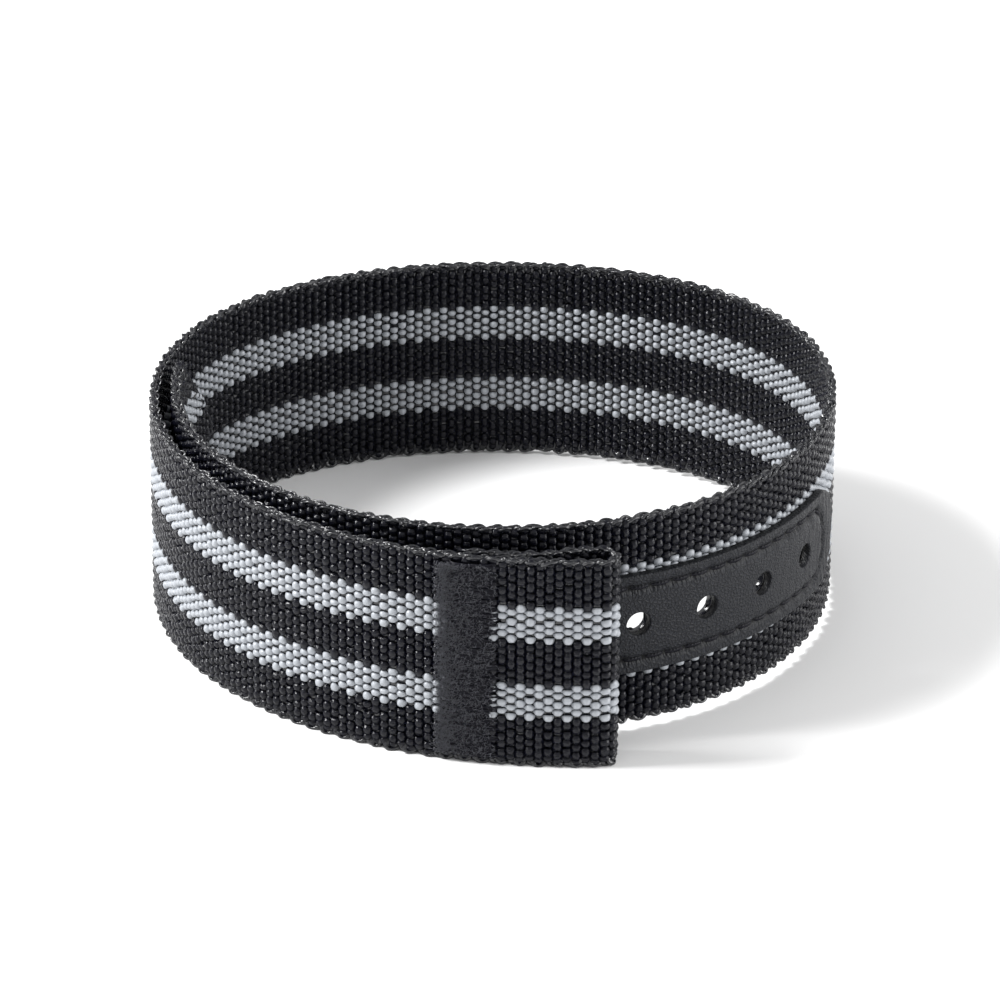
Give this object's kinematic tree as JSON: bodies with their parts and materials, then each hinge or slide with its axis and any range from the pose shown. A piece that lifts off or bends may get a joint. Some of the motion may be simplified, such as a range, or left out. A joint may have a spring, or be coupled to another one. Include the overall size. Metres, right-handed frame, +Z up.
{
  "type": "watch strap",
  "caption": "Coiled woven canvas watch strap with a folded, bar-tacked buckle loop and a leather hole patch near its pointed tip.",
  "frame": {"origin": "middle of the coil's box, on the surface that its lower edge stands on", "axes": "+Z up along the webbing's width, -Y towards the folded loop end, +X to its right seen from the front"},
  "size_m": [0.0694, 0.0734, 0.023],
  "materials": {
    "webbing": "matte woven nylon, black with two grey stripes",
    "leather": "satin fine grain",
    "thread": "satin twisted thread"
  },
  "bodies": {
    "strap_01": {"webbing_01": "webbing", "tack_bobbin_thread": "thread", "tack_needle_thread": "thread"},
    "strap_02": {"webbing_02": "webbing"},
    "strap_03": {"webbing_03": "webbing"},
    "strap_04": {"webbing_04": "webbing"},
    "strap_05": {"webbing_05": "webbing"},
    "strap_06": {"webbing_06": "webbing"},
    "strap_07": {"webbing_07": "webbing"},
    "strap_08": {"webbing_08": "webbing"},
    "strap_09": {"webbing_09": "webbing"},
    "strap_10": {"webbing_10": "webbing", "patch_10": "leather", "seam_bobbin_10_round": "thread", "seam_needle_10_round": "thread"},
    "strap_11": {"webbing_11": "webbing", "patch_11": "leather", "seam_bobbin_11_lower": "thread", "seam_bobbin_11_upper": "thread", "seam_needle_11_lower": "thread", "seam_needle_11_upper": "thread"},
    "strap_12": {"webbing_12": "webbing", "patch_12": "leather", "seam_bobbin_12_lower": "thread", "seam_bobbin_12_upper": "thread", "seam_needle_12_lower": "thread", "seam_needle_12_upper": "thread"},
    "strap_13": {"webbing_13": "webbing", "patch_13": "leather", "seam_bobbin_13_round": "thread", "seam_needle_13_round": "thread"},
    "strap_14": {"webbing_14": "webbing"}
  },
  "joints": [
    {"name": "uncoil_06", "type": "hinge", "parent": "strap_07", "child": "strap_06", "pos_m": [-0.00002, 0.03621, 0.011], "axis": [0, 0, -1], "range_deg": [0, 31.65], "stiffness_Nm_per_rad": 0.0004},
    {"name": "uncoil_05", "type": "hinge", "parent": "strap_06", "child": "strap_05", "pos_m": [-0.01991, 0.03073, 0.011], "axis": [0, 0, -1], "range_deg": [0, 35.89], "stiffness_Nm_per_rad": 0.0004},
    {"name": "uncoil_04", "type": "hinge", "parent": "strap_05", "child": "strap_04", "pos_m": [-0.03247, 0.01459, 0.011], "axis": [0, 0, -1], "range_deg": [0, 36.11], "stiffness_Nm_per_rad": 0.0004},
    {"name": "uncoil_03", "type": "hinge", "parent": "strap_04", "child": "strap_03", "pos_m": [-0.03297, -0.00602, 0.011], "axis": [0, 0, -1], "range_deg": [0, 31.4], "stiffness_Nm_per_rad": 0.0004},
    {"name": "uncoil_02", "type": "hinge", "parent": "strap_03", "child": "strap_02", "pos_m": [-0.02276, -0.02396, 0.011], "axis": [0, 0, -1], "range_deg": [0, 30.02], "stiffness_Nm_per_rad": 0.0004},
    {"name": "uncoil_01", "type": "hinge", "parent": "strap_02", "child": "strap_01", "pos_m": [-0.00496, -0.03444, 0.011], "axis": [0, 0, -1], "range_deg": [0, 24.81], "stiffness_Nm_per_rad": 0.0004},
    {"name": "uncoil_07", "type": "hinge", "parent": "strap_07", "child": "strap_08", "pos_m": [0.01993, 0.03094, 0.011], "axis": [0, 0, 1], "range_deg": [0, 36.26], "stiffness_Nm_per_rad": 0.0004},
    {"name": "uncoil_08", "type": "hinge", "parent": "strap_08", "child": "strap_09", "pos_m": [0.03254, 0.01487, 0.011], "axis": [0, 0, 1], "range_deg": [0, 36.95], "stiffness_Nm_per_rad": 0.0004},
    {"name": "uncoil_09", "type": "hinge", "parent": "strap_09", "child": "strap_10", "pos_m": [0.03283, -0.00574, 0.011], "axis": [0, 0, 1], "range_deg": [0, 38.95], "stiffness_Nm_per_rad": 0.0004},
    {"name": "uncoil_10", "type": "hinge", "parent": "strap_10", "child": "strap_11", "pos_m": [0.01706, -0.02675, 0.011], "axis": [0, 0, 1], "range_deg": [0, 42.15], "stiffness_Nm_per_rad": 0.0004},
    {"name": "uncoil_11", "type": "hinge", "parent": "strap_11", "child": "strap_12", "pos_m": [-0.00456, -0.03059, 0.011], "axis": [0, 0, 1], "range_deg": [0, 39.8], "stiffness_Nm_per_rad": 0.0004},
    {"name": "uncoil_12", "type": "hinge", "parent": "strap_12", "child": "strap_13", "pos_m": [-0.02363, -0.01976, 0.011], "axis": [0, 0, 1], "range_deg": [0, 30.76], "stiffness_Nm_per_rad": 0.0004},
    {"name": "uncoil_13", "type": "hinge", "parent": "strap_13", "child": "strap_14", "pos_m": [-0.03, -0.00848, 0.011], "axis": [0, 0, 1], "range_deg": [0, 31.7], "stiffness_Nm_per_rad": 0.0004}
  ],
  "couplings": [
    {"joint": "uncoil_05", "follows": "uncoil_06", "ratio": 1.1335},
    {"joint": "uncoil_04", "follows": "uncoil_06", "ratio": 1.1404},
    {"joint": "uncoil_03", "follows": "uncoil_06", "ratio": 0.9915},
    {"joint": "uncoil_02", "follows": "uncoil_06", "ratio": 0.9481},
    {"joint": "uncoil_01", "follows": "uncoil_06", "ratio": 0.7834},
    {"joint": "uncoil_07", "follows": "uncoil_06", "ratio": 1.1453},
    {"joint": "uncoil_08", "follows": "uncoil_06", "ratio": 1.167},
    {"joint": "uncoil_09", "follows": "uncoil_06", "ratio": 1.2301},
    {"joint": "uncoil_10", "follows": "uncoil_06", "ratio": 1.3314},
    {"joint": "uncoil_11", "follows": "uncoil_06", "ratio": 1.257},
    {"joint": "uncoil_12", "follows": "uncoil_06", "ratio": 0.9715},
    {"joint": "uncoil_13", "follows": "uncoil_06", "ratio": 1.0012}
  ]
}
